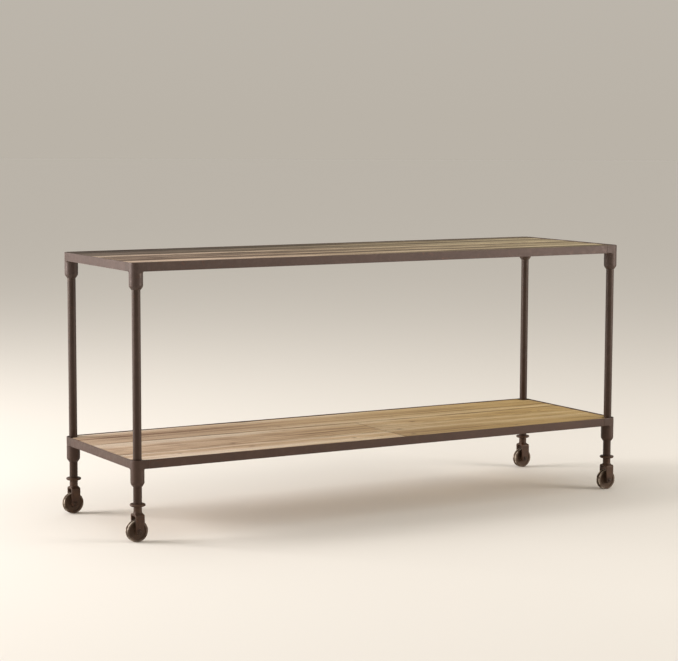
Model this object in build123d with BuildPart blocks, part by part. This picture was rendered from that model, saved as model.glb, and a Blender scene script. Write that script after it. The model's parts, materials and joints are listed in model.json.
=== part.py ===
"""Two-tier iron and plank table on four swivel casters.

Frame: +X along the length, +Y to the back, +Z up, millimetres.
The origin is on the floor, under the middle of the table.
"""
from build123d import *
import os

os.makedirs("parts", exist_ok=True)

# Overall size, over the outer faces of the rails
LENGTH = 1524.0
DEPTH = 457.0
HEIGHT = 711.0
SHELF_TOP = 211.0          # upper edge of the shelf's rails

# Angle iron of the rails
ANGLE_LEG = 23.0
WEB = 3.0
EDGE_ROUND = 0.8
ROOT_ROUND = 0.9           # clear of the planks' lower edges

# Cast corners: a tray between two rails, over a round socket
SOCKET_R = 18.0
TRAY_REACH = 26.0          # from the leg's axis to the weld with the rail
SOCKET_DROP = 57.5         # rail's upper edge down to the end of the cylinder
BOWL = 9.5                 # height of the bowl below the cylinder
LIP_T = 2.0                # narrow ring below the bowl
LIP_R = 13.2
COVE = 4.0                 # between socket and tray

# Legs
TUBE_R = 11.1
TUBE_BORE_R = 9.1
TUBE_BOTTOM = 98.5
TUBE_TOP = HEIGHT - 27.0
POST_X = LENGTH / 2 - SOCKET_R
POST_Y = DEPTH / 2 - SOCKET_R

# Planks and the flat straps below them
WOOD_T = 19.0
WOOD_EASE = 0.8
WOOD_GAP = 1.0             # between a plank and a rail, or two planks
CORNER_CUT = 10.0          # top planks: chamfer in the tray's rounded corner
NOTCH_R = 14.5             # shelf planks: room round the leg
TOP_SEAMS = (62.0, -68.0)
SHELF_BACK_SEAM = 58.0
SHELF_LEFT_SEAM = -120.0
SHELF_RIGHT_SEAM = -33.0
SHELF_BUTT = 52.0          # X of the butt joint between the short boards
STRAP_W = 40.0
STRAP_PITCH = 380.0

# Fasteners
SCREW_R = 2.0
SCREW_HEAD_R = 4.0
SCREW_HEAD_T = 2.4
SCREW_GRIP = 12.0          # depth in the wood, without the point
SCREW_POINT = 3.0
SCREW_FROM_BUTT = 11.0
GRUB_R = 3.0
HEX_R = 1.7                # over the corners of the key's socket
HEX_DEPTH = 3.0

# Caster: collar in the tube's end, swivelling fork, wheel on a riveted axle
COLLAR_Z = 95.0
COLLAR_R = 20.25
BEAD_R = 3.5
SLEEVE_TOP = 138.0
PINTLE_R = 5.55
PINTLE_HEAD_R = 7.5
PINTLE_HEAD_T = 3.0
FORK_TOP = 72.0
FORK_PLATE = 5.0
FORK_GAP = 24.0
FORK_BEND = 5.0
NECK_R = 11.0
NECK_COVE = 2.5
ARM_LEFT = -12.0
ARM_RIGHT = 12.5
ARM_SHOULDER_Z = 50.0
BOSS_R = 9.0
TRAIL = -3.0               # axle's offset along X from the swivel axis
WHEEL_R = 28.5
RIM_HALF = 6.75
HUB_HALF = 11.0
HUB_R = 9.5
DISH_R = 22.0
DISH_DEPTH = 1.2
GROOVE_HALF = 2.6
GROOVE_DEPTH = 2.0
AXLE_R = 3.5
RIVET_R = 4.75
RIVET_T = 2.6
WASHER_R = 7.75
WASHER_T = 1.2

# Clearances
FIT = 0.05                 # pins and tubes in their holes, radial
SWIVEL_GAP = 0.4           # faces that pass each other

AXLE_Z = WHEEL_R
FORK_HALF = FORK_GAP / 2 + FORK_PLATE
NECK_TOP = COLLAR_Z - BEAD_R - SWIVEL_GAP
SLEEVE_R = TUBE_BORE_R - FIT
TIER_TOPS = {"top": HEIGHT, "shelf": SHELF_TOP}
CORNERS = {
    "front_left": (-1, -1),
    "front_right": (1, -1),
    "back_left": (-1, 1),
    "back_right": (1, 1),
}
PLANK_X = LENGTH / 2 - WEB - WOOD_GAP
PLANK_Y = DEPTH / 2 - WEB - WOOD_GAP
STRAP_XS = {
    "top": {"left": -STRAP_PITCH, "centre": 0.0, "right": STRAP_PITCH},
    "shelf": {
        "left": SHELF_BUTT - STRAP_PITCH,
        "centre": SHELF_BUTT,
        "right": SHELF_BUTT + STRAP_PITCH,
    },
}

# Every plank: tier, name, X from and to, Y from and to, on the seams' middle lines
PLANKS = (
    ("top", "back", -PLANK_X, PLANK_X, TOP_SEAMS[0], PLANK_Y),
    ("top", "middle", -PLANK_X, PLANK_X, TOP_SEAMS[1], TOP_SEAMS[0]),
    ("top", "front", -PLANK_X, PLANK_X, -PLANK_Y, TOP_SEAMS[1]),
    ("shelf", "back", -PLANK_X, PLANK_X, SHELF_BACK_SEAM, PLANK_Y),
    ("shelf", "middle_left", -PLANK_X, SHELF_BUTT, SHELF_LEFT_SEAM, SHELF_BACK_SEAM),
    ("shelf", "front_left", -PLANK_X, SHELF_BUTT, -PLANK_Y, SHELF_LEFT_SEAM),
    ("shelf", "middle_right", SHELF_BUTT, PLANK_X, SHELF_RIGHT_SEAM, SHELF_BACK_SEAM),
    ("shelf", "front_right", SHELF_BUTT, PLANK_X, -PLANK_Y, SHELF_RIGHT_SEAM),
)


def save(part, name):
    part.label = name
    export_step(part, f"parts/{name}.step")


def post(corner):
    """X and Y of a leg's axis."""
    sx, sy = CORNERS[corner]
    return sx * POST_X, sy * POST_Y


def turning_plane(x, y):
    """Upright plane through a leg's axis: local X is the radius, local Y the height."""
    return Plane(origin=(x, y, 0), x_dir=(1, 0, 0), z_dir=(0, -1, 0))


def leg_axis(x, y):
    return Axis((x, y, 0), (0, 0, 1))


# ---------------------------------------------------------------- rails

def angle_rail(section_plane, outer, side, rail_top, half_length):
    """Rolled angle, with its web on the table's outer face and its ledge at the bottom."""
    bottom = rail_top - ANGLE_LEG
    rounds = (
        ((outer - side * WEB, bottom + WEB), ROOT_ROUND),
        ((outer, bottom), EDGE_ROUND),
        ((outer, rail_top), EDGE_ROUND),
        ((outer - side * WEB, rail_top), EDGE_ROUND),
    )
    with BuildPart() as rail:
        with BuildSketch(section_plane) as section:
            with BuildLine():
                Polyline(
                    (outer, bottom),
                    (outer, rail_top),
                    (outer - side * WEB, rail_top),
                    (outer - side * WEB, bottom + WEB),
                    (outer - side * ANGLE_LEG, bottom + WEB),
                    (outer - side * ANGLE_LEG, bottom),
                    close=True,
                )
            make_face()
            for place, radius in rounds:
                fillet(section.vertices().sort_by_distance((*place, 0))[0], radius)
        extrude(amount=half_length, both=True)
    return rail.part


def strap(x, rail_top):
    """Flat iron between the ledges, level with them."""
    ledge_edge = DEPTH / 2 - ANGLE_LEG
    with BuildPart() as flat:
        with BuildSketch(Plane.XY.offset(rail_top - ANGLE_LEG)):
            with Locations((x, 0)):
                Rectangle(STRAP_W, 2 * ledge_edge)
            with Locations(*[place for place in screw_places(rail_top) if abs(place[0] - x) < STRAP_W / 2]):
                Circle(SCREW_R + 2 * FIT, mode=Mode.SUBTRACT)
        extrude(amount=WEB)
    return flat.part


# ---------------------------------------------------------------- corner castings

def tray_wall(corner):
    """Upstand that carries the rails' webs round the corner."""
    sx, sy = CORNERS[corner]
    x, y = post(corner)
    with Locations((x, y)):
        Circle(SOCKET_R)
        Circle(SOCKET_R - WEB, mode=Mode.SUBTRACT)
    with Locations((x + sx * SOCKET_R / 2, y + sy * SOCKET_R / 2)):
        Rectangle(SOCKET_R, SOCKET_R, mode=Mode.INTERSECT)
    with Locations((x - sx * TRAY_REACH / 2, sy * (DEPTH - WEB) / 2)):
        Rectangle(TRAY_REACH, WEB)
    with Locations((sx * (LENGTH - WEB) / 2, y - sy * TRAY_REACH / 2)):
        Rectangle(WEB, TRAY_REACH)


def square_quarters(corner):
    """The three quarters of the casting's pad that have straight sides."""
    sx, sy = CORNERS[corner]
    x, y = post(corner)
    side = SOCKET_R + TRAY_REACH
    with Locations((x + sx * (SOCKET_R - TRAY_REACH) / 2, y + sy * (SOCKET_R - TRAY_REACH) / 2)):
        Rectangle(side, side)
    with Locations((x + sx * SOCKET_R / 2, y + sy * SOCKET_R / 2)):
        Rectangle(SOCKET_R, SOCKET_R, mode=Mode.SUBTRACT)


def corner_casting(corner, rail_top, bore_top):
    x, y = post(corner)
    tray = rail_top - ANGLE_LEG
    cylinder_end = rail_top - SOCKET_DROP
    bowl_end = cylinder_end - BOWL
    lip = bowl_end - LIP_T
    with BuildPart() as casting:
        # Cove under the pad
        with BuildSketch(turning_plane(x, y)):
            with BuildLine():
                Polyline(
                    (SOCKET_R + COVE, tray),
                    (SOCKET_R + COVE, tray + WEB / 2),
                    (SOCKET_R - WEB, tray + WEB / 2),
                    (SOCKET_R - WEB, tray - COVE),
                    (SOCKET_R, tray - COVE),
                )
                RadiusArc((SOCKET_R, tray - COVE), (SOCKET_R + COVE, tray), COVE)
            make_face()
        revolve(axis=leg_axis(x, y))
        with BuildSketch(Plane.XY.offset(tray - COVE)):
            square_quarters(corner)
        extrude(amount=2 * COVE, mode=Mode.INTERSECT)
        # Socket
        with BuildSketch(turning_plane(x, y)):
            with BuildLine():
                TangentArc((SOCKET_R, cylinder_end), (LIP_R, bowl_end), tangent=(0, -1))
                Polyline(
                    (LIP_R, bowl_end),
                    (LIP_R, lip),
                    (0, lip),
                    (0, tray),
                    (SOCKET_R, tray),
                    (SOCKET_R, cylinder_end),
                )
            make_face()
        revolve(axis=leg_axis(x, y))
        # Pad and upstand
        with BuildSketch(Plane.XY.offset(tray)):
            square_quarters(corner)
            with Locations((x, y)):
                Circle(SOCKET_R)
        extrude(amount=WEB)
        with BuildSketch(Plane.XY.offset(tray + WEB)):
            tray_wall(corner)
        extrude(amount=ANGLE_LEG - WEB)
        # Bore for the leg, and the tapped hole of its set screw
        with BuildSketch(Plane.XY.offset(lip)):
            with Locations((x, y)):
                Circle(TUBE_R + FIT)
        extrude(amount=bore_top - lip, mode=Mode.SUBTRACT)
        with BuildSketch(grub_plane(corner, rail_top)):
            Circle(GRUB_R + FIT)
        extrude(amount=SOCKET_R + COVE, mode=Mode.SUBTRACT)
    return casting.part


def grub_plane(corner, rail_top):
    """Plane on a leg's axis, facing the middle of the table, at the grub screw's height."""
    sx, sy = CORNERS[corner]
    x, y = post(corner)
    height = rail_top - (ANGLE_LEG + SOCKET_DROP) / 2
    return Plane(origin=(x, y, height), x_dir=(sy, -sx, 0), z_dir=(-sx, -sy, 0))


def grub_screws():
    """One socket set screw in each casting, against its leg."""
    with BuildPart() as screws:
        for rail_top in TIER_TOPS.values():
            for corner in CORNERS:
                seat = grub_plane(corner, rail_top)
                with BuildSketch(seat.offset(TUBE_R + FIT)):
                    Circle(GRUB_R)
                extrude(amount=SOCKET_R - TUBE_R - 2 * FIT)
                with BuildSketch(seat.offset(SOCKET_R - FIT)):
                    RegularPolygon(HEX_R, 6)
                extrude(amount=-HEX_DEPTH, mode=Mode.SUBTRACT)
    return screws.part


def leg_tube(corner):
    x, y = post(corner)
    with BuildPart() as tube:
        with BuildSketch(Plane.XY.offset(TUBE_BOTTOM)):
            with Locations((x, y)):
                Circle(TUBE_R)
                Circle(TUBE_BORE_R, mode=Mode.SUBTRACT)
        extrude(amount=TUBE_TOP - TUBE_BOTTOM)
    return tube.part


# ---------------------------------------------------------------- planks and their screws

def plank_middle(plank):
    _, _, _, _, y_from, y_to = plank
    return (y_from + y_to) / 2


def screw_places(rail_top):
    """X and Y of every plank screw of a tier: one where a plank crosses a strap."""
    places = []
    for plank in PLANKS:
        tier, _, x_from, x_to, _, _ = plank
        if TIER_TOPS[tier] != rail_top:
            continue
        for x in STRAP_XS[tier].values():
            if x_from < x < x_to:
                places.append((x, plank_middle(plank)))
            elif x == x_from:
                places.append((x + SCREW_FROM_BUTT, plank_middle(plank)))
            elif x == x_to:
                places.append((x - SCREW_FROM_BUTT, plank_middle(plank)))
    return places


def wood_plank(plank):
    tier, _, x_from, x_to, y_from, y_to = plank
    rail_top = TIER_TOPS[tier]
    bottom = rail_top - ANGLE_LEG + WEB
    # A side on a seam gives up half of the gap
    x_low = x_from + (0 if x_from == -PLANK_X else WOOD_GAP / 2)
    x_high = x_to - (0 if x_to == PLANK_X else WOOD_GAP / 2)
    y_low = y_from + (0 if y_from == -PLANK_Y else WOOD_GAP / 2)
    y_high = y_to - (0 if y_to == PLANK_Y else WOOD_GAP / 2)
    inside = [
        (px, py) for px, py in screw_places(rail_top)
        if x_low < px < x_high and y_low < py < y_high
    ]
    with BuildPart() as board:
        with BuildSketch(Plane.XY.offset(bottom)) as outline:
            with Locations(((x_low + x_high) / 2, (y_low + y_high) / 2)):
                Rectangle(x_high - x_low, y_high - y_low)
            if tier == "top":
                tips = [
                    tip for tip in outline.vertices()
                    if abs(abs(tip.X) - PLANK_X) < FIT and abs(abs(tip.Y) - PLANK_Y) < FIT
                ]
                if tips:
                    chamfer(tips, CORNER_CUT)
            else:
                leg_notches()
        extrude(amount=WOOD_T)
        chamfer(board.faces().sort_by(Axis.Z)[-1].edges(), WOOD_EASE)
        with BuildSketch(Plane.XY.offset(bottom)):
            with Locations(*inside):
                Circle(SCREW_R + FIT)
        extrude(amount=SCREW_GRIP + SCREW_POINT, mode=Mode.SUBTRACT)
    return board.part


def leg_notches():
    """Cut the corners of the shelf's boards away round the legs, with a rounded inner corner."""
    long_side = SOCKET_R + NOTCH_R
    shift = (SOCKET_R - NOTCH_R) / 2
    for corner, (sx, sy) in CORNERS.items():
        x, y = post(corner)
        with Locations((x, y)):
            Circle(NOTCH_R, mode=Mode.SUBTRACT)
        with Locations((x + sx * shift, y + sy * SOCKET_R / 2)):
            Rectangle(long_side, SOCKET_R, mode=Mode.SUBTRACT)
        with Locations((x + sx * SOCKET_R / 2, y + sy * shift)):
            Rectangle(SOCKET_R, long_side, mode=Mode.SUBTRACT)


def plank_screws():
    """Pan-head wood screws, driven up through the straps."""
    with BuildPart() as screws:
        for rail_top in TIER_TOPS.values():
            strap_bottom = rail_top - ANGLE_LEG
            grip_end = strap_bottom + WEB + SCREW_GRIP
            for x, y in screw_places(rail_top):
                with BuildSketch(turning_plane(x, y)):
                    with BuildLine():
                        Polyline(
                            (SCREW_HEAD_R, strap_bottom),
                            (SCREW_R, strap_bottom),
                            (SCREW_R, grip_end),
                            (0, grip_end + SCREW_POINT),
                            (0, strap_bottom - SCREW_HEAD_T),
                            (SCREW_HEAD_R / 2, strap_bottom - SCREW_HEAD_T),
                        )
                        TangentArc(
                            (SCREW_HEAD_R / 2, strap_bottom - SCREW_HEAD_T),
                            (SCREW_HEAD_R, strap_bottom),
                            tangent=(1, 0),
                        )
                    make_face()
                revolve(axis=leg_axis(x, y))
    return screws.part


# ---------------------------------------------------------------- casters

def caster_collar(corner):
    """Beaded collar under the tube, with a sleeve up inside it that guides the pintle."""
    x, y = post(corner)
    bead_centre = COLLAR_R - BEAD_R
    with BuildPart() as collar:
        with BuildSketch(turning_plane(x, y)):
            with BuildLine():
                Polyline(
                    (bead_centre, COLLAR_Z + BEAD_R),
                    (SLEEVE_R, COLLAR_Z + BEAD_R),
                    (SLEEVE_R, SLEEVE_TOP),
                    (PINTLE_R + FIT, SLEEVE_TOP),
                    (PINTLE_R + FIT, COLLAR_Z - BEAD_R),
                    (bead_centre, COLLAR_Z - BEAD_R),
                )
                ThreePointArc(
                    (bead_centre, COLLAR_Z - BEAD_R),
                    (COLLAR_R, COLLAR_Z),
                    (bead_centre, COLLAR_Z + BEAD_R),
                )
            make_face()
        revolve(axis=leg_axis(x, y))
    return collar.part


def caster_pintle(corner):
    """Swivel pin: riveted under the fork's crown, with a head over the collar's sleeve."""
    x, y = post(corner)
    head = SLEEVE_TOP + SWIVEL_GAP
    crown_bottom = FORK_TOP - FORK_PLATE
    with BuildPart() as pintle:
        with BuildSketch(turning_plane(x, y)):
            with BuildLine():
                Polyline(
                    (0, crown_bottom - RIVET_T),
                    (PINTLE_R, crown_bottom - RIVET_T),
                    (PINTLE_HEAD_R, crown_bottom),
                    (PINTLE_R, crown_bottom),
                    (PINTLE_R, head),
                    (PINTLE_HEAD_R, head),
                    (PINTLE_HEAD_R, head + PINTLE_HEAD_T),
                    (0, head + PINTLE_HEAD_T),
                    close=True,
                )
            make_face()
        revolve(axis=leg_axis(x, y))
    return pintle.part


def caster_fork(corner):
    x, y = post(corner)
    crown_bottom = FORK_TOP - FORK_PLATE
    boss = Vector(TRAIL, AXLE_Z)
    # Forged bar bent to a U, seen along X
    with BuildPart() as fork:
        with BuildSketch(Plane(origin=(x, y, 0), x_dir=(0, 1, 0), z_dir=(1, 0, 0))) as bent_bar:
            with Locations((0, FORK_TOP / 2)):
                Rectangle(2 * FORK_HALF, FORK_TOP)
            fillet(bent_bar.vertices().group_by(Axis.Y)[-1], FORK_BEND)
            with Locations((0, crown_bottom / 2)):
                Rectangle(FORK_GAP, crown_bottom, mode=Mode.SUBTRACT)
        extrude(amount=BOSS_R + NECK_R, both=True)
        # Arm's outline, seen along Y: straight on the left, tapering to the boss on the right
        with BuildSketch(turning_plane(x, y)):
            with BuildLine():
                start = Vector(ARM_RIGHT, ARM_SHOULDER_Z)
                touch = tangent_point(start, boss, BOSS_R)
                Polyline(
                    touch,
                    start,
                    (ARM_RIGHT, FORK_TOP),
                    (ARM_LEFT, FORK_TOP),
                    (ARM_LEFT, AXLE_Z),
                )
                ThreePointArc((ARM_LEFT, AXLE_Z), (TRAIL, AXLE_Z - BOSS_R), touch)
            make_face()
        extrude(amount=FORK_HALF, both=True, mode=Mode.INTERSECT)
        # Neck, flaring into the crown
        with BuildSketch(turning_plane(x, y)):
            with BuildLine():
                Polyline(
                    (NECK_R, FORK_TOP + NECK_COVE),
                    (NECK_R, NECK_TOP),
                    (0, NECK_TOP),
                    (0, crown_bottom + FIT),
                    (NECK_R, crown_bottom + FIT),
                    (NECK_R + NECK_COVE, FORK_TOP - NECK_COVE / 2),
                    (NECK_R + NECK_COVE, FORK_TOP),
                )
                RadiusArc((NECK_R + NECK_COVE, FORK_TOP), (NECK_R, FORK_TOP + NECK_COVE), -NECK_COVE)
            make_face()
        revolve(axis=leg_axis(x, y))
        with BuildSketch(Plane.XY.offset(crown_bottom)):
            with Locations((x, y)):
                Circle(PINTLE_R + FIT)
        extrude(amount=NECK_TOP - crown_bottom, mode=Mode.SUBTRACT)
        with BuildSketch(turning_plane(x, y)):
            with Locations((TRAIL, AXLE_Z)):
                Circle(AXLE_R + FIT)
        extrude(amount=FORK_HALF, both=True, mode=Mode.SUBTRACT)
    return fork.part


def tangent_point(outside, centre, radius):
    """Where a line from outside touches the lower right of a circle."""
    across = outside - centre
    reach = across.length
    along = radius * radius / reach
    off = radius * (reach * reach - radius * radius) ** 0.5 / reach
    unit = across.normalized()
    right = Vector(unit.Y, -unit.X)
    return centre + unit * along + right * off


def axle_plane(corner):
    """Plane along a wheel's axle: local X is the distance along it, local Y the radius."""
    x, y = post(corner)
    return Plane(origin=(x + TRAIL, y, AXLE_Z), x_dir=(0, 1, 0), z_dir=(1, 0, 0))


def axle_axis(corner):
    x, y = post(corner)
    return Axis((x + TRAIL, y, AXLE_Z), (0, 1, 0))


def caster_axle(corner):
    """Rivet through the fork, with a domed head at each end."""
    head = FORK_HALF + WASHER_T
    with BuildPart() as axle:
        with BuildSketch(axle_plane(corner)):
            with BuildLine():
                Polyline(
                    (head, RIVET_R),
                    (head, AXLE_R),
                    (-head, AXLE_R),
                    (-head, RIVET_R),
                )
                TangentArc((-head - RIVET_T, 0), (-head, RIVET_R), tangent=(0, 1))
                Line((-head - RIVET_T, 0), (head + RIVET_T, 0))
                TangentArc((head + RIVET_T, 0), (head, RIVET_R), tangent=(0, 1))
            make_face()
        revolve(axis=axle_axis(corner))
    return axle.part


def caster_washers(corner):
    with BuildPart() as washers:
        for side in (-1, 1):
            inner_face = side * FORK_HALF
            with BuildSketch(turning_plane(*post(corner)).offset(inner_face)):
                with Locations((TRAIL, AXLE_Z)):
                    Circle(WASHER_R)
                    Circle(AXLE_R + FIT, mode=Mode.SUBTRACT)
            extrude(amount=side * WASHER_T)
    return washers.part


def caster_wheel(corner):
    """Solid iron wheel: grooved tread, dished faces, hub that runs on the axle."""
    with BuildPart() as wheel:
        with BuildSketch(axle_plane(corner)) as profile:
            with BuildLine():
                Polyline(
                    (-HUB_HALF, AXLE_R + FIT),
                    (-HUB_HALF, HUB_R),
                    (-RIM_HALF + DISH_DEPTH, HUB_R + DISH_DEPTH),
                    (-RIM_HALF + DISH_DEPTH, DISH_R),
                    (-RIM_HALF, DISH_R + DISH_DEPTH),
                    (-RIM_HALF, WHEEL_R),
                    (-GROOVE_HALF, WHEEL_R),
                    (-GROOVE_HALF + GROOVE_DEPTH / 2, WHEEL_R - GROOVE_DEPTH),
                    (GROOVE_HALF - GROOVE_DEPTH / 2, WHEEL_R - GROOVE_DEPTH),
                    (GROOVE_HALF, WHEEL_R),
                    (RIM_HALF, WHEEL_R),
                    (RIM_HALF, DISH_R + DISH_DEPTH),
                    (RIM_HALF - DISH_DEPTH, DISH_R),
                    (RIM_HALF - DISH_DEPTH, HUB_R + DISH_DEPTH),
                    (HUB_HALF, HUB_R),
                    (HUB_HALF, AXLE_R + FIT),
                    close=True,
                )
            make_face()
            for side in (-1, 1):
                fillet(profile.vertices().sort_by_distance((side * RIM_HALF, WHEEL_R, 0))[0], DISH_DEPTH)
        revolve(axis=axle_axis(corner))
    return wheel.part


# ---------------------------------------------------------------- build

for tier, rail_top in TIER_TOPS.items():
    for side, name in ((-1, "front"), (1, "back")):
        long_rail = angle_rail(Plane.YZ, side * DEPTH / 2, side, rail_top, POST_X - TRAY_REACH)
        save(long_rail, f"{tier}_rail_{name}")
    for side, name in ((-1, "left"), (1, "right")):
        end_rail = angle_rail(Plane.XZ, side * LENGTH / 2, side, rail_top, POST_Y - TRAY_REACH)
        save(end_rail, f"{tier}_rail_{name}")
    for place, strap_x in STRAP_XS[tier].items():
        save(strap(strap_x, rail_top), f"{tier}_strap_{place}")

for plank in PLANKS:
    save(wood_plank(plank), f"{plank[0]}_plank_{plank[1]}")

for corner in CORNERS:
    save(corner_casting(corner, HEIGHT, TUBE_TOP + FIT), f"top_corner_{corner}")
    save(corner_casting(corner, SHELF_TOP, SHELF_TOP), f"shelf_corner_{corner}")
    save(leg_tube(corner), f"leg_tube_{corner}")
    save(caster_collar(corner), f"caster_collar_{corner}")
    save(caster_pintle(corner), f"caster_pintle_{corner}")
    save(caster_fork(corner), f"caster_fork_{corner}")
    save(caster_axle(corner), f"caster_axle_{corner}")
    save(caster_washers(corner), f"caster_washers_{corner}")
    save(caster_wheel(corner), f"caster_wheel_{corner}")

save(grub_screws(), "grub_screws")
save(plank_screws(), "plank_screws")
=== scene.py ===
"""Looks of the two-tier plank table.

Camera, light, materials and detailed pieces round the CAD frame.
"""
import json
import math

import bpy
import numpy as np
from mathutils import Matrix, Vector, noise


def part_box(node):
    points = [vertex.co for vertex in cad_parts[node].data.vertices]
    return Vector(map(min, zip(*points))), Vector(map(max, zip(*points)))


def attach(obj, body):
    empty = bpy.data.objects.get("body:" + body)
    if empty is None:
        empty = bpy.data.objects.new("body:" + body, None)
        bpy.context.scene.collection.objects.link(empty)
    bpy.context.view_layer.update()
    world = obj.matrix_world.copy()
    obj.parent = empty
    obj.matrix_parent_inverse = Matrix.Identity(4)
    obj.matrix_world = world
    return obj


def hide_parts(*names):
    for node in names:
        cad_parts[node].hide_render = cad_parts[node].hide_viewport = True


MM = 0.001

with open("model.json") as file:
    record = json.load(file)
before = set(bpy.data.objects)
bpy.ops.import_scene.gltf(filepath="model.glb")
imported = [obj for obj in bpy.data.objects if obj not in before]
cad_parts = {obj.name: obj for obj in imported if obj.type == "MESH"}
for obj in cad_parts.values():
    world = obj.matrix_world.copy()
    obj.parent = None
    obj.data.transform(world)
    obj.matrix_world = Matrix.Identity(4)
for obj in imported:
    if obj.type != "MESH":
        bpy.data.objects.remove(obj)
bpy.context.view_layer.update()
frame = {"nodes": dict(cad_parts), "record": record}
NODES = frame["nodes"]
CORNERS = ("front_left", "front_right", "back_left", "back_right")


# ---------------------------------------------------------------- camera and studio

CAMERA_PLACE = (-2.781, -4.753, 1.0755)
CAMERA_YAW = -30.02         # degrees, from looking straight along Y
CAMERA_PITCH = -6.16
CAMERA_ROLL = 0.19
SENSOR_WIDTH = 36           # mm
LENS = 105.35               # mm
FLOOR_R = 60                # m
# Place, target, size, watts and colour of each soft light
LIGHTS = {
    "left_window": ((-4.3, 2.2, 1.7), (0, 0, 0.4), (2.5, 2.6), 310, (1.0, 0.965, 0.95)),
    "right_window": ((3.6, -2.9, 1.3), (0.4, 0, 0.4), (1.8, 2.0), 120, (1.0, 0.95, 0.89)),
    "ceiling": ((-0.6, 0.6, 4.4), (0, 0, 0.3), (3.0, 2.4), 26, (1.0, 0.97, 0.93)),
}
ZENITH = (0.66, 0.64, 0.61)
ZENITH_FROM = 0.9           # height of the view direction where the sky is all zenith
FLOOR = (0.80, 0.765, 0.71)
# The share of an even floor's light that comes from the sky's upper, brighter part
ZENITH_SHARE = 0.73


def add_camera():
    """A long lens to the left of the table's front, a little above its top."""
    data = bpy.data.cameras.new("camera")
    data.sensor_width = SENSOR_WIDTH
    data.lens = LENS
    data.clip_end = 50
    camera = bpy.data.objects.new("camera", data)
    yaw = Matrix.Rotation(math.radians(CAMERA_YAW), 4, "Z")
    pitch = Matrix.Rotation(math.pi / 2 + math.radians(CAMERA_PITCH), 4, "X")
    roll = Matrix.Rotation(math.radians(CAMERA_ROLL), 4, "Z")
    camera.matrix_world = Matrix.Translation(CAMERA_PLACE) @ (yaw @ pitch @ roll)
    bpy.context.scene.collection.objects.link(camera)
    bpy.context.scene.camera = camera


def add_area_light(name, place, target, size, power, colour):
    data = bpy.data.lights.new(name, "AREA")
    data.shape = "RECTANGLE"
    data.size, data.size_y = size
    data.energy = power
    data.color = colour
    light = bpy.data.objects.new(name, data)
    place = Vector(place)
    aim = Vector(target) - place
    turn = aim.to_track_quat("-Z", "Y").to_matrix().to_4x4()
    light.matrix_world = Matrix.Translation(place) @ turn
    light.visible_camera = False
    bpy.context.scene.collection.objects.link(light)


def add_studio():
    """Pale floor that fades into a pale surround, with a strong soft light from the left."""
    world = bpy.data.worlds.new("studio")
    bpy.context.scene.world = world
    world.use_nodes = True
    tree = world.node_tree
    direction = tree.nodes.new("ShaderNodeTexCoord").outputs["Generated"]
    parts = tree.nodes.new("ShaderNodeSeparateXYZ")
    tree.links.new(direction, parts.inputs["Vector"])
    height = tree.nodes.new("ShaderNodeMapRange")
    tree.links.new(parts.outputs["Z"], height.inputs["Value"])
    height.inputs["From Min"].default_value = 0.0
    height.inputs["From Max"].default_value = ZENITH_FROM
    sky = tree.nodes.new("ShaderNodeMix")
    sky.data_type = "RGBA"
    tree.links.new(height.outputs["Result"], sky.inputs["Factor"])
    # The horizon is as bright as the far floor under this sky, so that no line shows between them
    horizon = [
        ZENITH_SHARE * f * z / (1 - (1 - ZENITH_SHARE) * f)
        for f, z in zip(FLOOR, ZENITH)
    ]
    sky.inputs["A"].default_value = (*horizon, 1)
    sky.inputs["B"].default_value = (*ZENITH, 1)
    tree.links.new(sky.outputs["Result"], tree.nodes["Background"].inputs["Color"])

    for name, light in LIGHTS.items():
        add_area_light(name, *light)

    bpy.ops.mesh.primitive_circle_add(vertices=96, radius=FLOOR_R, fill_type="NGON")
    floor = bpy.context.object
    floor.name = "floor"
    material, _, shader = new_material("pale_floor")
    shader.inputs["Base Color"].default_value = (*FLOOR, 1)
    shader.inputs["Roughness"].default_value = 0.9
    shader.inputs["Specular IOR Level"].default_value = 0.15
    floor.data.materials.append(material)
    bpy.context.scene.view_settings.view_transform = "Standard"


# ---------------------------------------------------------------- shader helpers

def linear(hex_colour):
    """An sRGB colour such as "8a6f5c" as linear RGBA."""
    channels = [int(hex_colour[i:i + 2], 16) / 255 for i in (0, 2, 4)]
    # The sRGB curve: a straight foot, then a power
    return (*[c / 12.92 if c <= 0.04045 else ((c + 0.055) / 1.055) ** 2.4 for c in channels], 1)


def shaded(hex_colour, shade):
    """The same colour, lighter or darker."""
    red, green, blue, _ = linear(hex_colour)
    return (red * shade, green * shade, blue * shade, 1)


def new_material(name):
    material = bpy.data.materials.new(name)
    material.use_nodes = True
    tree = material.node_tree
    shader = tree.nodes["Principled BSDF"]
    return material, tree, shader


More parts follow.
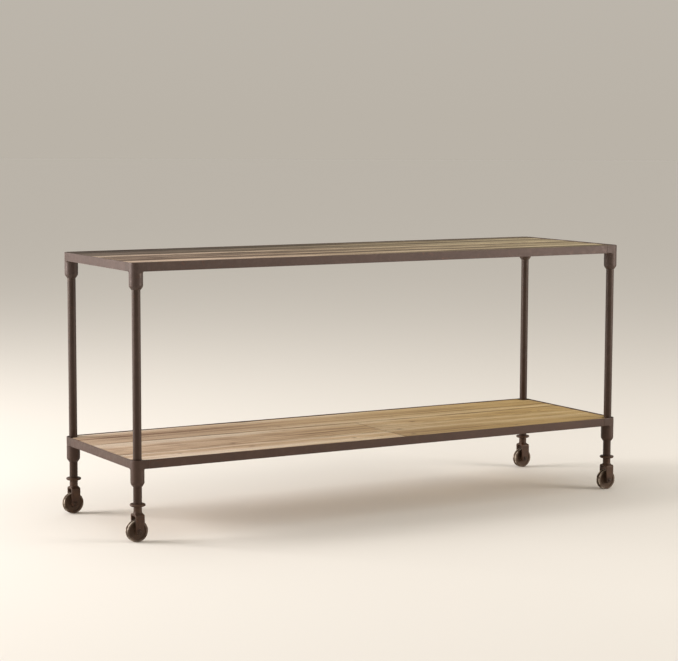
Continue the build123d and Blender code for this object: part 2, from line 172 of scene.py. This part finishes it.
class Shader:
    """Short calls that add nodes to one material and give back their output sockets."""

    def __init__(self, name):
        self.material, self.tree, self.bsdf = new_material(name)
        self.place = self.node("ShaderNodeTexCoord").outputs["Object"]

    def node(self, kind, **settings):
        made = self.tree.nodes.new(kind)
        for key, value in settings.items():
            setattr(made, key, value)
        return made

    def feed(self, socket, value):
        """Link a socket, or set a plain number or colour."""
        if isinstance(value, bpy.types.NodeSocket):
            self.tree.links.new(value, socket)
        else:
            socket.default_value = value

    def stretched(self, scale, shift):
        """Object coordinates, scaled and moved."""
        mapping = self.node("ShaderNodeMapping")
        self.feed(mapping.inputs["Vector"], self.place)
        mapping.inputs["Scale"].default_value = scale
        mapping.inputs["Location"].default_value = shift
        return mapping.outputs["Vector"]

    def noise(self, vector, detail=4, roughness=0.55, distortion=0.0):
        made = self.node("ShaderNodeTexNoise")
        self.feed(made.inputs["Vector"], vector)
        made.inputs["Scale"].default_value = 1
        made.inputs["Detail"].default_value = detail
        made.inputs["Roughness"].default_value = roughness
        made.inputs["Distortion"].default_value = distortion
        return made.outputs["Fac"]

    def ramp(self, value, low, high, start=0.0, end=1.0):
        """A smooth step of value between low and high, from start to end."""
        made = self.node("ShaderNodeMapRange", interpolation_type="SMOOTHSTEP")
        self.feed(made.inputs["Value"], value)
        made.inputs["From Min"].default_value = low
        made.inputs["From Max"].default_value = high
        made.inputs["To Min"].default_value = start
        made.inputs["To Max"].default_value = end
        return made.outputs["Result"]

    def math(self, operation, a, b=0.0):
        made = self.node("ShaderNodeMath", operation=operation)
        self.feed(made.inputs[0], a)
        self.feed(made.inputs[1], b)
        return made.outputs["Value"]

    def mix(self, share, a, b, blend="MIX"):
        made = self.node("ShaderNodeMix", data_type="RGBA", blend_type=blend)
        self.feed(made.inputs["Factor"], share)
        self.feed(made.inputs["A"], a)
        self.feed(made.inputs["B"], b)
        return made.outputs["Result"]

    def bump(self, height, distance, strength, below=None):
        made = self.node("ShaderNodeBump")
        self.feed(made.inputs["Height"], height)
        made.inputs["Distance"].default_value = distance
        made.inputs["Strength"].default_value = strength
        if below is not None:
            self.feed(made.inputs["Normal"], below)
        return made.outputs["Normal"]

    def edge_wear(self, radius):
        """0 on flat faces, rising to 1 on edges and corners."""
        rounded = self.node("ShaderNodeBevel", samples=4)
        rounded.inputs["Radius"].default_value = radius
        flat = self.node("ShaderNodeNewGeometry").outputs["Normal"]
        dot = self.node("ShaderNodeVectorMath", operation="DOT_PRODUCT")
        self.feed(dot.inputs[0], rounded.outputs["Normal"])
        self.feed(dot.inputs[1], flat)
        return self.ramp(dot.outputs["Value"], 0.99, 0.80)

    def attribute(self, name):
        return self.node("ShaderNodeAttribute", attribute_name=name).outputs["Fac"]


# ---------------------------------------------------------------- iron

# Each slot's body, dark, bloom and rust colours, metallic share, roughness and other settings
IRONS = {
    "rail_iron": (("4c3a33", "3d2f29", "624e46", "573a2d"), 0.30, 0.47, {}),
    "cast_corner_iron": (
        ("46352e", "372a23", "5a473f", "53382a"), 0.30, 0.48, {"pits": 1.6, "seed": 3.0},
    ),
    "leg_iron": (
        ("3f3028", "32261e", "524037", "4a3224"), 0.30, 0.42, {"seed": 6.0, "specular": 0.36},
    ),
    "caster_iron": (
        ("4c392c", "35281f", "6b5644", "6b4428"), 0.4, 0.5, {"pits": 1.4, "seed": 9.0},
    ),
    "wheel_iron": (
        ("493a2d", "30271f", "665541", "64452d"), 0.4, 0.5,
        {"pits": 1.4, "seed": 12.0, "polished": True},
    ),
    "axle_iron": (("3d3027", "2a211b", "5d4c3d", "5b3a24"), 0.5, 0.5, {"seed": 15.0}),
    "fastener_steel": (("5c5650", "423d38", "7e776f", "5d4636"), 0.8, 0.42, {"seed": 18.0}),
}
BRIGHT_IRON = "cdbfae"
# A darker, browner tint multiplied into the iron's colour towards the floor
LOW_DOWN_TINT = (0.75, 0.58, 0.42, 1)
LOW_DOWN_FROM = 0.45            # height at which the darker brown tint begins
LOW_DOWN_FULL = 0.12


def iron(name, colours, metallic, rough, pits=1.0, seed=0.0, specular=0.5, polished=False):
    """Old iron with a satin brown patina, fine cast grain, faint bloom, and rust in places."""
    body, dark, bloom, rust = (linear(colour) for colour in colours)
    s = Shader(name)
    wide = s.stretched((9, 9, 9), (seed, 0, 0))
    patches = s.noise(wide, detail=4, roughness=0.6, distortion=0.4)
    mottle = s.noise(s.stretched((70, 70, 70), (0, seed, 0)), detail=4, roughness=0.65)
    speckle = s.noise(s.stretched((520, 520, 520), (0, 0, seed)), detail=3, roughness=0.6)
    colour = s.mix(s.ramp(patches, 0.36, 0.66, 0.0, 0.55), body, dark)
    colour = s.mix(s.ramp(mottle, 0.45, 0.75, 0.0, 0.45), colour, bloom)
    stain = s.math("MULTIPLY", s.ramp(mottle, 0.50, 0.34), s.ramp(patches, 0.44, 0.66, 0.1, 0.8))
    colour = s.mix(stain, colour, rust)
    colour = s.mix(s.ramp(speckle, 0.50, 0.68, 0.0, 0.45), colour, dark)
    colour = s.mix(s.ramp(speckle, 0.44, 0.30, 0.0, 0.30), colour, bloom)
    colour = s.mix(s.math("MULTIPLY", s.edge_wear(1.2 * MM), 0.30), colour, bloom)
    # Darker and browner towards the floor
    parts = s.node("ShaderNodeSeparateXYZ")
    s.feed(parts.inputs["Vector"], s.place)
    low_down = s.ramp(parts.outputs["Z"], LOW_DOWN_FROM, LOW_DOWN_FULL)
    colour = s.mix(low_down, colour, LOW_DOWN_TINT, "MULTIPLY")
    if polished:
        bright = s.math("MULTIPLY", s.attribute("polish"), s.ramp(mottle, 0.62, 0.40))
        colour = s.mix(bright, colour, linear(BRIGHT_IRON))
    s.feed(s.bsdf.inputs["Base Color"], colour)
    s.bsdf.inputs["Metallic"].default_value = metallic
    s.bsdf.inputs["Specular IOR Level"].default_value = specular
    s.feed(s.bsdf.inputs["Roughness"], s.ramp(mottle, 0.3, 0.7, rough - 0.06, rough + 0.10))
    swell = s.noise(s.stretched((38, 38, 38), (seed, seed, 0)), detail=2)
    normal = s.bump(swell, 0.5 * MM, 0.4)
    normal = s.bump(mottle, 0.2 * MM, 0.5 * pits, normal)
    normal = s.bump(speckle, 0.10 * MM, 0.8 * pits, normal)
    s.feed(s.bsdf.inputs["Normal"], normal)
    return s.material


# ---------------------------------------------------------------- wood

KNOT_COLOUR = shaded("4a2e1d", 0.8)
CRACK_COLOUR = linear("2e231b")
DIRT_COLOUR = linear("2a2019")
PLANK_REACH = 0.75          # from the middle, where the tones of a plank's ends are reached
RING_TURNS = 950.0          # growth rings: radians of their wave for a metre of radius


def wood(name, seed, left, right, shade, darkest):
    """A weathered plank along X. left and right are the light, middle and dark tones of its ends,
    and darkest is how strong the grain is where half of it has turned dark."""
    s = Shader(name)
    shift = (seed * 3.1, seed * 1.7, seed * 0.9)
    parts = s.node("ShaderNodeSeparateXYZ")
    s.feed(parts.inputs["Vector"], s.place)
    along = s.ramp(parts.outputs["X"], -PLANK_REACH, PLANK_REACH)
    # The grain flows round each knot
    flow = s.node("ShaderNodeCombineXYZ")
    s.feed(flow.inputs["X"], parts.outputs["X"])
    s.feed(flow.inputs["Y"], s.math("ADD", parts.outputs["Y"], s.attribute("bend")))
    s.feed(flow.inputs["Z"], parts.outputs["Z"])
    s.place = flow.outputs["Vector"]
    light, middle, dark = (
        s.mix(along, shaded(a, shade[0]), shaded(b, shade[1])) for a, b in zip(left, right)
    )

    # Growth rings round a pith below the board, which wanders along the board
    drift = s.noise(s.stretched((1.3, 7, 7), shift), detail=2)
    pith = s.node("ShaderNodeSeparateXYZ")
    s.feed(pith.inputs["Vector"], s.stretched((1, 1, 1), (0, seed * 0.231 % 0.12 - 0.06, 0.09)))
    sway = s.math("MULTIPLY", s.math("SUBTRACT", drift, 0.5), 0.075)
    across = s.math("ADD", pith.outputs["Y"], sway)
    depth = s.math("ADD", pith.outputs["Z"], s.math("MULTIPLY", parts.outputs["X"], 0.035))
    squares = [s.math("MULTIPLY", side, side) for side in (across, depth)]
    radius = s.math("SQRT", s.math("ADD", *squares))
    uneven = s.noise(s.stretched((0.8, 26, 26), shift), detail=2)
    turns = s.math(
        "ADD", s.math("MULTIPLY", radius, RING_TURNS), s.math("MULTIPLY", uneven, 9.0),
    )
    rings = s.math("SINE", turns)

    # Fine streaks that crowd together into darker and paler bands
    fibres = s.noise(s.stretched((16, 1100, 1100), shift), detail=3, roughness=0.6)
    bands = s.noise(s.stretched((0.42, 15, 15), shift), detail=2, roughness=0.5)
    streaks = s.noise(s.stretched((1.1, 58, 58), shift), detail=6, roughness=0.66)
    lines = s.noise(s.stretched((3.2, 290, 290), shift), detail=5, roughness=0.7)
    patches = s.noise(s.stretched((2.2, 8, 8), shift), detail=5, roughness=0.6)
    checks = s.noise(s.stretched((4.5, 240, 240), shift), detail=2, roughness=0.4)
    grain = s.math("MULTIPLY", bands, 0.45)
    grain = s.math("ADD", grain, s.math("MULTIPLY", streaks, 0.45))
    grain = s.math("ADD", grain, s.math("MULTIPLY", lines, 0.30))
    grain = s.math("ADD", grain, s.math("MULTIPLY", patches, 0.12))
    colour = s.mix(s.ramp(grain, 0.645, 0.57), middle, light)
    colour = s.mix(s.ramp(grain, darkest - 0.055, darkest + 0.06, 0.0, 0.9), colour, dark)
    colour = s.mix(s.math("MULTIPLY", s.ramp(rings, 0.05, 1.0), 0.20), colour, dark)
    colour = s.mix(s.ramp(fibres, 0.42, 0.62, 0.30, 0.0), colour, dark)
    colour = s.mix(s.math("MULTIPLY", s.attribute("knot"), 0.8), colour, KNOT_COLOUR)
    crack = s.ramp(checks, 0.675, 0.73)
    colour = s.mix(s.math("MULTIPLY", crack, 0.75), colour, CRACK_COLOUR)
    colour = s.mix(s.attribute("dirt"), colour, DIRT_COLOUR)
    s.feed(s.bsdf.inputs["Base Color"], colour)
    s.feed(s.bsdf.inputs["Roughness"], s.ramp(streaks, 0.3, 0.7, 0.70, 0.9))
    s.bsdf.inputs["Specular IOR Level"].default_value = 0.22
    normal = s.bump(rings, 0.12 * MM, 0.5)
    normal = s.bump(fibres, 0.10 * MM, 0.7, normal)
    normal = s.bump(crack, -0.5 * MM, 1.0, normal)
    s.feed(s.bsdf.inputs["Normal"], normal)
    return s.material


# ---------------------------------------------------------------- mesh helpers

def link_mesh(name, vertices, faces, material, body):
    """A smooth-shaded piece that rides on a body, in the CAD's own coordinates."""
    mesh = bpy.data.meshes.new(name)
    mesh.from_pydata(vertices, [], faces)
    mesh.polygons.foreach_set("use_smooth", [True] * len(mesh.polygons))
    mesh.materials.append(material)
    mesh.update()
    piece = bpy.data.objects.new(name, mesh)
    bpy.context.scene.collection.objects.link(piece)
    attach(piece, body)
    return piece


def ring_faces(stations, points):
    """Quads between closed rings of points, and a cap on the first and last ring."""
    faces = []
    for i in range(stations - 1):
        a, b = i * points, (i + 1) * points
        for j in range(points):
            k = (j + 1) % points
            faces.append((a + j, a + k, b + k, b + j))
    faces.append(tuple(reversed(range(points))))
    faces.append(tuple(range((stations - 1) * points, stations * points)))
    return faces


def waves(rng, x, y, per_x, per_y, count):
    """Smooth noise of about unit size: a few crossing sine waves."""
    total = np.zeros(np.broadcast(x, y).shape)
    for _ in range(count):
        fx, fy = rng.normal(0, per_x), rng.normal(0, per_y)
        total += np.sin(2 * math.pi * (fx * x + fy * y) + rng.uniform(0, 2 * math.pi))
    return total / math.sqrt(count)


# ---------------------------------------------------------------- planks

TUBE_R = 11.1 * MM
POST_X = -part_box("leg_tube_front_left")[0].x - TUBE_R
POST_Y = -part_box("leg_tube_front_left")[0].y - TUBE_R
TABLE_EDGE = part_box("shelf_plank_back")[1].y    # the planks' outer long sides
NOTCH_R = 14.5 * MM
CORNER_CUT = 10 * MM
STATION = 5.5 * MM          # grid along a plank
LINE = 2.4 * MM             # grid across it
LONG = 0.7                  # a plank's half length that reaches the end rails
EASE = 1.0 * MM             # rounding of a plank's edges
BEND_SPREAD = 70 * MM       # how far in from the corners the grid lines are squeezed

# Wear of a plank's face
FACE_DROP = 0.25 * MM       # the worn face, on average below the CAD face
UNDULATION = 0.22 * MM
CUPPING = 0.25 * MM
RAISED_GRAIN = 0.10 * MM
KNOT_DIP = 0.25 * MM
DENT_DEPTH = 0.35 * MM
WANDER = 2.6 * MM           # how far the grid lines sway sideways along the grain
SIDE_SLACK = 0.35 * MM      # how uneven the long sides are
CRACKS = 5
DENTS = 7
BOTTOM_LINES = 9
# Marks on the rings' other points: dirt, bend and knot
SIDE_MARK = (0.6, 0, 0)
BOTTOM_MARK = (0.2, 0, 0)


def corner_loss(x, on_shelf, end):
    """How far a plank's outer side draws in at x, for the corner casting or the leg."""
    if not on_shelf:
        return max(0.0, CORNER_CUT - (end - abs(x)))
    if abs(x) < POST_X - NOTCH_R:
        return 0.0
    reach = NOTCH_R
    if abs(x) < POST_X:
        reach = math.sqrt(max(0.0, NOTCH_R ** 2 - (abs(x) - POST_X) ** 2))
    return TABLE_EDGE - (POST_Y - reach)


def plank_stations(x0, x1, on_shelf):
    """Places of a plank's rings, close together at the ends and round the legs."""
    stations = list(np.linspace(x0 + EASE, x1 - EASE, int((x1 - x0) / STATION)))
    stations += [x0, x0 + 0.3 * EASE, x1 - 0.3 * EASE, x1]
    if on_shelf:
        for sign in (-1, 1):
            bends = [POST_X - NOTCH_R - 0.01 * MM] + [
                POST_X - NOTCH_R * math.cos(math.radians(t)) for t in range(0, 91, 10)
            ]
            stations += [sign * x for x in bends if x0 + EASE < sign * x < x1 - EASE]
    return np.array(sorted(stations))


def drying_checks(rng, x0, x1, low, high):
    """Cracks along the grain: middle in Y, start in X, length, depth and half width."""
    checks = []
    for _ in range(CRACKS):
        centre = rng.uniform(low.y + 8 * MM, high.y - 8 * MM)
        start = rng.uniform(x0, x1)
        if rng.random() < 0.4:
            start = rng.choice([x0, x1])
        length = rng.uniform(40, 190) * MM
        deep = rng.uniform(0.8, 2.4) * MM
        half = rng.uniform(0.35, 0.8) * MM
        checks.append((centre, start, length, deep, half))
    return checks


def plank_lines(low, high, checks):
    """Places of the grid lines across a plank, close together at each crack."""
    base = np.linspace(low.y + EASE, high.y - EASE, int((high.y - low.y) / LINE))
    lines = [y for y in base if all(abs(y - c[0]) > 1.4 * MM for c in checks)]
    for centre, _, _, _, half in checks:
        lines += [centre + half * t for t in (-1.5, -0.6, 0, 0.6, 1.5)]
    return np.array(sorted(lines))


def knot_marks(rng, x, v, x0, x1, low, high):
    """How far the grain bends sideways round a few knots, and how strong each knot is."""
    bend = np.zeros(np.broadcast(x, v).shape)
    knot = np.zeros(np.broadcast(x, v).shape)
    for _ in range(rng.integers(2, 6)):
        size = rng.uniform(3.5, 8) * MM
        off_x = x - rng.uniform(x0 + 30 * MM, x1 - 30 * MM)
        off_y = v - rng.uniform(low.y + 15 * MM, high.y - 15 * MM)
        reach = np.exp(-(off_x / (6 * size)) ** 2 - np.abs(off_y) / (3.5 * size))
        bend = bend - 0.9 * size * np.tanh(off_y / (0.6 * size)) * reach
        heart = (off_x / (1.3 * size)) ** 2 + (off_y / size) ** 2
        knot = np.maximum(knot, np.exp(-1.6 * heart))
    return bend, knot


def worn_face(rng, x, v, x0, x1, low, high, checks, knot):
    """Sideways place and height of the worn face's points, and how dirty each one is."""
    across_share = 2 * (v - (low.y + high.y) / 2) / (high.y - low.y)
    top_y = v + (1 - across_share ** 4) * (WANDER * waves(rng, x, 0 * v, 1.1, 0.0, 5))
    z = UNDULATION * waves(rng, x, v, 2.2, 7.0, 8)
    z = z - CUPPING * across_share ** 2 * rng.uniform(-0.4, 1.0)
    z = z + RAISED_GRAIN * waves(rng, x, v, 0.8, 55.0, 12) - KNOT_DIP * knot
    dirt = np.zeros(z.shape)
    for centre, start, length, deep, half in checks:
        along = np.clip(1 - np.abs(x - start) / length, 0, 1) ** 0.5
        along = along * (0.75 + 0.25 * np.sin(x * 410 + centre * 999))
        across = np.clip(1 - np.abs(v - centre) / (1.5 * half), 0, 1)
        z = z - deep * along * across
        dirt = np.maximum(dirt, np.clip(1.5 * along, 0, 1) * (across > 0.2))
    for _ in range(DENTS):
        px = rng.uniform(x0, x1)
        py = rng.uniform(low.y, high.y)
        size = rng.uniform(4, 12) * MM
        z = z - DENT_DEPTH * np.exp(-(((x - px) / (1.6 * size)) ** 2 + ((v - py) / size) ** 2))
    # Rubbed long edges and ends
    side = np.minimum(v - low.y, high.y - v)
    worn = (1.6 + 0.8 * waves(rng, x, 0 * v, 6.0, 0.0, 5)).clip(0.4, 3.0) * MM
    z = z - 0.45 * np.clip(1 - side / (2.2 * worn), 0, 1) ** 2 * worn
    dirt = np.maximum(dirt, 0.45 * np.clip(1 - side / (3.5 * MM), 0, 1))
    end = np.minimum(x - x0, x1 - x)
    z = z - 0.5 * np.clip(1 - end / (2.5 * MM), 0, 1) ** 2 * worn
    dirt = np.maximum(dirt, 0.4 * np.clip(1 - end / (5 * MM), 0, 1))
    return top_y, np.minimum(high.z + z - FACE_DROP, high.z), dirt


def plank_ring(face, drop, slack_low, slack_high, low, high):
    """The worn face's points from front to back, then the back side, the bottom and the front."""
    back = face[-1][1]
    front = face[0][1]
    bottoms = np.linspace(high.y - 0.4 * MM, low.y + 0.4 * MM, BOTTOM_LINES)
    ring = face + [
        (high.y - 0.3 * EASE - slack_high, back - 0.3 * EASE),
        (high.y - slack_high, back - EASE),
        (high.y - slack_high, low.z + 0.5 * EASE),
    ]
    ring += [(y, low.z + drop * 0.3) for y in bottoms]
    return ring + [
        (low.y + slack_low, low.z + 0.5 * EASE),
        (low.y + slack_low, front - EASE),
        (low.y + 0.3 * EASE + slack_low, front - 0.3 * EASE),
    ]


def clear_corners(ring, px, on_shelf, low, high):
    """The ring, squeezed away from the corner castings or the legs."""
    loss = corner_loss(px, on_shelf, max(abs(low.x), abs(high.x)))
    if loss <= 0 or abs(px) <= LONG:
        return ring
    for side_y, sign in ((high.y, 1), (low.y, -1)):
        if abs(abs(side_y) - TABLE_EDGE) > MM:
            continue
        inner = side_y - sign * min(BEND_SPREAD, 0.9 * (high.y - low.y))
        squeeze = 1 - loss / abs(side_y - inner)
        ring = [
            (inner + (y - inner) * squeeze if (y - inner) * sign > 0 else y, h)
            for y, h in ring
        ]
    return ring


def plank(node, seed, material):
    """A worn board in its CAD node's box: uneven face, raised grain, cracks and rubbed edges."""
    rng = np.random.default_rng(seed)
    low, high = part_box(node)
    on_shelf = node.startswith("shelf")
    # Ends sawn a little short of the end rails, each board by its own amount
    x0 = low.x + (rng.uniform(0.2, 2.2) * MM if low.x < -LONG else 0)
    x1 = high.x - (rng.uniform(0.2, 2.2) * MM if high.x > LONG else 0)
    xs = plank_stations(x0, x1, on_shelf)
    checks = drying_checks(rng, x0, x1, low, high)
    lines = plank_lines(low, high, checks)
    x = xs[:, None]
    v = lines[None, :]
    bend, knot = knot_marks(rng, x, v, x0, x1, low, high)
    top_y, top_z, dirt = worn_face(rng, x, v, x0, x1, low, high, checks, knot)

    vertices = []
    marks = []
    for i, px in enumerate(xs):
        drop = EASE * max(0.0, 1 - min(px - x0, x1 - px) / EASE) * 0.6
        slack_low, slack_high = (
            SIDE_SLACK * (1 + math.sin(px * k + seed)) / 2 for k in (31, 23)
        )
        face = [(y, height - drop) for y, height in zip(top_y[i], top_z[i])]
        ring = plank_ring(face, drop, slack_low, slack_high, low, high)
        vertices += [(px, y, h) for y, h in clear_corners(ring, px, on_shelf, low, high)]
        marks += list(zip(dirt[i], bend[i], knot[i]))
        marks += [SIDE_MARK] * 3 + [BOTTOM_MARK] * BOTTOM_LINES + [SIDE_MARK] * 3
    points = len(lines) + 6 + BOTTOM_LINES
    faces = [tuple(reversed(f)) for f in ring_faces(len(xs), points)]
    board = link_mesh(node + "_board", vertices, faces, material, "table")
    for name, values in zip(("dirt", "bend", "knot"), zip(*marks)):
        board.data.attributes.new(name, "FLOAT", "POINT").data.foreach_set("value", values)
    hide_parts(node)


# Light, middle and dark tones at the left and right ends
TOP_TONES = (("d6bfa9", "9a816c", "3c2e25"), ("dccba6", "b19d79", "4d402e"))
SHELF_TONES = (("e6d6c2", "cdb398", "6f4d35"), ("e6cc9c", "c8a970", "6e532e"))
# How strong the grain is where half of it has turned dark
TOP_DARKEST = 0.668
SHELF_DARKEST = 0.732
# Each board's seed, and its shade at the left and right ends
BOARDS = {
    "top_plank_back": (11, (0.36, 0.80)),
    "top_plank_middle": (12, (0.84, 0.92)),
    "top_plank_front": (13, (1.12, 0.92)),
    "shelf_plank_back": (21, (0.97, 0.95)),
    "shelf_plank_middle_left": (22, (1.04, 0.98)),
    "shelf_plank_front_left": (23, (1.10, 1.06)),
    "shelf_plank_middle_right": (24, (0.96, 1.02)),
    "shelf_plank_front_right": (25, (0.84, 0.98)),
}


def add_boards():
    for node, (seed, shade) in BOARDS.items():
        on_top = node.startswith("top")
        tones = TOP_TONES if on_top else SHELF_TONES
        darkest = TOP_DARKEST if on_top else SHELF_DARKEST
        plank(node, seed, wood(node + "_wood", seed * 0.73, *tones, shade, darkest))


# ---------------------------------------------------------------- wheels

HUB_R = 9.5 * MM
HUB_HALF = 11 * MM
BORE_R = 3.6 * MM
DISH_R = 22 * MM
DISH_DEPTH = 1.4 * MM
RIM_HALF = 6.75 * MM
GROOVE_HALF = 2.6 * MM
GROOVE_DEPTH = 2.0 * MM
RIM_POLISH = 1.6 * MM       # width of the rim's edges that the floor rubs bright
POLISH_DEPTH = 1.1 * MM
SPIN_STEPS = 80
CURVE_STEPS = 5


def rounded(corners, radius):
    """A closed outline with each corner turned into a short curve."""
    points = []
    befores = corners[-1:] + corners[:-1]
    afters = corners[1:] + corners[:1]
    for before, corner, after in zip(befores, corners, afters):
        cuts = []
        for other in (before, after):
            away = other - corner
            cuts.append(corner + away.normalized() * min(radius, 0.45 * away.length))
        for step in range(CURVE_STEPS + 1):
            t = step / CURVE_STEPS
            points.append(cuts[0] * (1 - t) ** 2 + corner * 2 * t * (1 - t) + cuts[1] * t ** 2)
    return points


def wheel_outline(radius):
    """Half section of the wheel, as (distance along the axle, radius)."""
    web = RIM_HALF - DISH_DEPTH
    side = [
        (HUB_HALF, BORE_R),
        (HUB_HALF, HUB_R),
        (web, HUB_R + 0.8 * MM),
        (web, DISH_R - 0.6 * MM),
        (RIM_HALF, DISH_R),
        (RIM_HALF, radius),
        (GROOVE_HALF, radius),
        (0.7 * GROOVE_HALF, radius - GROOVE_DEPTH),
    ]
    side += [(-a, r) for a, r in reversed(side)]
    return rounded([Vector(point) for point in side], 0.8 * MM)


def wheel(corner, material):
    """A turned wheel: hub, dished faces and a grooved tread, rubbed bright on the rims' edges."""
    node = f"caster_wheel_{corner}"
    low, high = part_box(node)
    centre = (low + high) / 2
    radius = (high.z - low.z) / 2
    outline = wheel_outline(radius)
    vertices = []
    polish = []
    for step in range(SPIN_STEPS):
        angle = 2 * math.pi * step / SPIN_STEPS
        for a, r in outline:
            vertices.append(centre + Vector((r * math.sin(angle), a, r * math.cos(angle))))
            outer = max(0.0, 1 - (radius - r) / POLISH_DEPTH)
            polish.append(outer * (1.0 if abs(a) > RIM_HALF - RIM_POLISH else 0.35))
    count = len(outline)
    faces = []
    for i in range(SPIN_STEPS):
        a, b = i * count, (i + 1) % SPIN_STEPS * count
        faces += [(a + j, b + j, b + (j + 1) % count, a + (j + 1) % count) for j in range(count)]
    piece = link_mesh(node + "_turned", vertices, faces, material, f"wheel_{corner}")
    attribute = piece.data.attributes.new("polish", "FLOAT", "POINT")
    attribute.data.foreach_set("value", polish)
    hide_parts(node)


# ---------------------------------------------------------------- cast pieces

def cast_copy(node, material, body, voxel, melt, swell, seed):
    """A CAD casting with its edges and inner corners softened, and an uneven cast surface.
    melt is how many times it is smoothed, and swell the height of the unevenness."""
    source = NODES[node]
    mesh = source.data.copy()
    piece = bpy.data.objects.new(node + "_cast", mesh)
    bpy.context.scene.collection.objects.link(piece)
    remesh = piece.modifiers.new("remesh", "REMESH")
    remesh.mode = "VOXEL"
    remesh.voxel_size = voxel
    smooth = piece.modifiers.new("smooth", "SMOOTH")
    smooth.factor = 0.5
    smooth.iterations = melt
    view = bpy.context.view_layer
    view.update()
    finished = bpy.data.meshes.new_from_object(piece.evaluated_get(view.depsgraph))
    piece.modifiers.clear()
    piece.data = finished
    bpy.data.meshes.remove(mesh)

    # Cast unevenness, kept in the node's box, and ends that still meet the rails
    low, high = (np.array(corner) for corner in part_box(node))
    count = len(finished.vertices)
    places = np.empty((count, 3))
    normals = np.empty((count, 3))
    finished.vertices.foreach_get("co", places.ravel())
    finished.vertex_normals.foreach_get("vector", normals.ravel())
    shift = Vector((seed * 0.31, seed * 0.17, seed * 0.23))
    points = [Vector(place) for place in places]
    lumps = [
        noise.noise(point * 95 + shift) + 0.4 * noise.noise(point * 300 + shift)
        for point in points
    ]
    places += normals * (np.array(lumps)[:, None] - 0.35) * swell
    places = np.clip(places, low, high)
    if "_corner_" in node:
        for axis in (0, 1):
            end = low[axis] if low[axis] > 0 else high[axis]
            places[np.abs(places[:, axis] - end) < voxel, axis] = end
    finished.vertices.foreach_set("co", places.ravel())
    finished.polygons.foreach_set("use_smooth", [True] * len(finished.polygons))
    finished.materials.clear()
    finished.materials.append(material)
    finished.update()
    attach(piece, body)
    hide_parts(node)


def add_castings(looks):
    for number, corner in enumerate(CORNERS):
        wheel(corner, looks["wheel_iron"])
        for tier, first_seed in (("top", 5), ("shelf", 0)):
            cast_copy(
                f"{tier}_corner_{corner}", looks["cast_corner_iron"], "table",
                voxel=1.0 * MM, melt=4, swell=0.14 * MM, seed=first_seed + number,
            )
        cast_copy(
            f"caster_fork_{corner}", looks["caster_iron"], f"fork_{corner}",
            voxel=0.8 * MM, melt=5, swell=0.12 * MM, seed=11 + number,
        )
        cast_copy(
            f"caster_collar_{corner}", looks["caster_iron"], "table",
            voxel=0.9 * MM, melt=3, swell=0.08 * MM, seed=21 + number,
        )


def dress_cad_nodes():
    """An iron for each slot but the wood's, on the CAD nodes of that slot."""
    by_slot = {}
    for slot, (colours, metallic, rough, settings) in IRONS.items():
        by_slot[slot] = iron(slot, colours, metallic, rough, **settings)
    for part in frame["record"]["subparts"]:
        if part["material_slot"] not in by_slot:
            continue
        node = NODES[part["node"]]
        node.data.materials.clear()
        node.data.materials.append(by_slot[part["material_slot"]])
    return by_slot


add_camera()
add_studio()
looks = dress_cad_nodes()
add_boards()
add_castings(looks)
